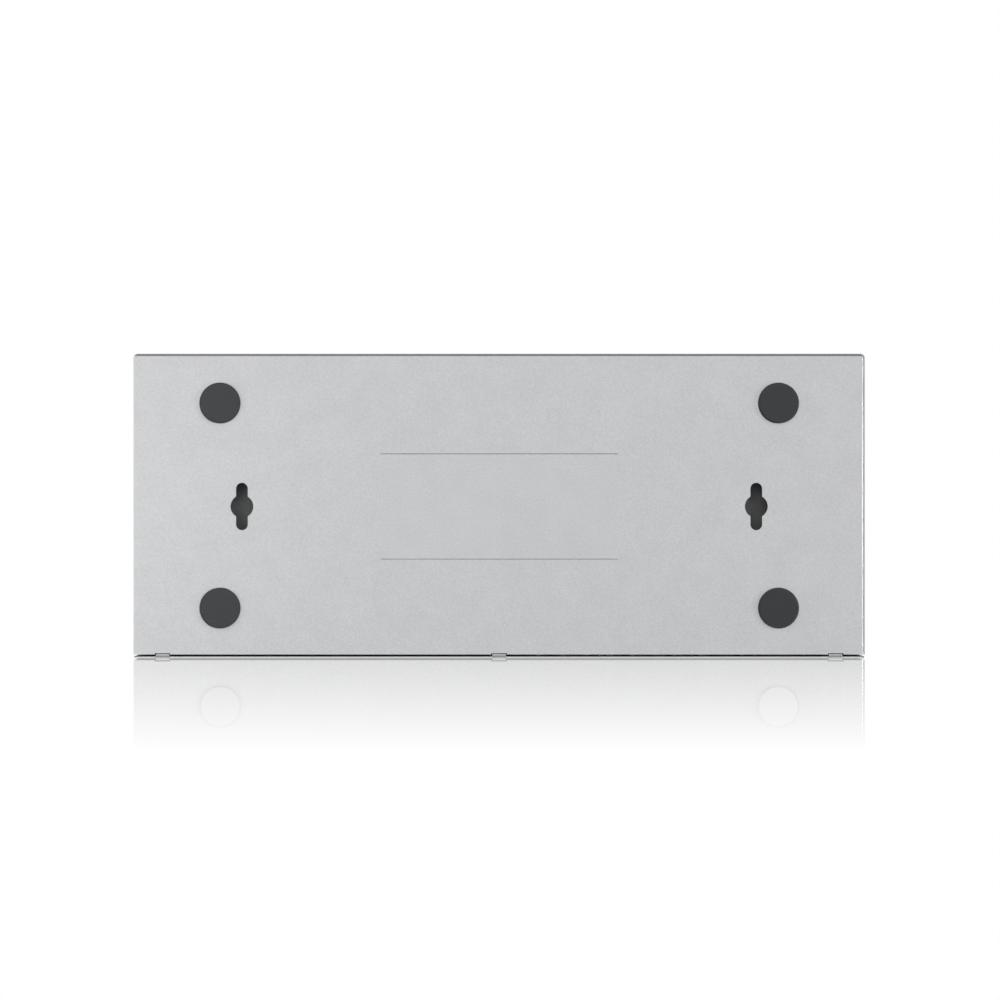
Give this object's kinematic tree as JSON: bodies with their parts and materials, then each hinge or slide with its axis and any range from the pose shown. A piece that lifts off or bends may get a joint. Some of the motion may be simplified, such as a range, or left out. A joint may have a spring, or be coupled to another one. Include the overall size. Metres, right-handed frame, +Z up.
{
  "type": "ethernet switch",
  "caption": "Desktop ethernet switch in a flat folded-steel case with rubber feet, wall keyholes, a row of network sockets, a power inlet and indicator lights.",
  "frame": {"origin": "centre of the plane that the four feet stand on", "axes": "+X along the width, -Y to the front with the indicator lights, +Y to the rear with the sockets, +Z up"},
  "size_m": [0.25, 0.104, 0.027],
  "materials": {
    "case_paint": "fine light grey powder paint",
    "foot_rubber": "matt black rubber",
    "screw_steel": "nickel plated steel",
    "post_steel": "plated steel, welded to the floor",
    "film": "dark insulating film",
    "board_laminate": "green solder resist on glass-fibre laminate",
    "shield_tin": "tin plated sheet",
    "insert_black": "black moulded plastic",
    "contact_gold": "gold plated spring wire",
    "inlet_metal": "nickel plated pin and spring",
    "guide_clear": "clear moulded plastic",
    "light_lens": "light package",
    "package_black": "black moulding compound",
    "pad_grey": "soft grey heat pad",
    "heatsink_aluminium": "dark anodised extrusion",
    "can_aluminium": "bright drawn can",
    "ferrite": "dark ferrite",
    "ceramic": "chip parts with tinned ends"
  },
  "bodies": {
    "root": {"bottom_tray": "case_paint", "top_cover": "case_paint", "cover_screws": "screw_steel", "foot_front_left": "foot_rubber", "foot_front_right": "foot_rubber", "foot_rear_left": "foot_rubber", "foot_rear_right": "foot_rubber", "board_posts": "post_steel", "insulating_film": "film", "main_board": "board_laminate", "board_screws": "screw_steel", "jack_shield_1_4": "shield_tin", "jack_shield_5_8": "shield_tin", "jack_housing_1_4": "insert_black", "jack_housing_5_8": "insert_black", "jack_contacts_1_4": "contact_gold", "jack_contacts_5_8": "contact_gold", "dc_jack_housing": "insert_black", "dc_jack_pin": "inlet_metal", "dc_jack_spring": "inlet_metal", "light_guide": "guide_clear", "status_lights": "light_lens", "switch_chip": "package_black", "thermal_pad": "pad_grey", "heatsink": "heatsink_aluminium", "lan_transformer_1": "package_black", "lan_transformer_2": "package_black", "lan_transformer_3": "package_black", "lan_transformer_4": "package_black", "smoothing_capacitors": "can_aluminium", "power_inductors": "ferrite", "power_regulators": "package_black", "memory_chip": "package_black", "clock_crystal": "can_aluminium", "small_board_parts": "ceramic"}
  },
  "joints": []
}
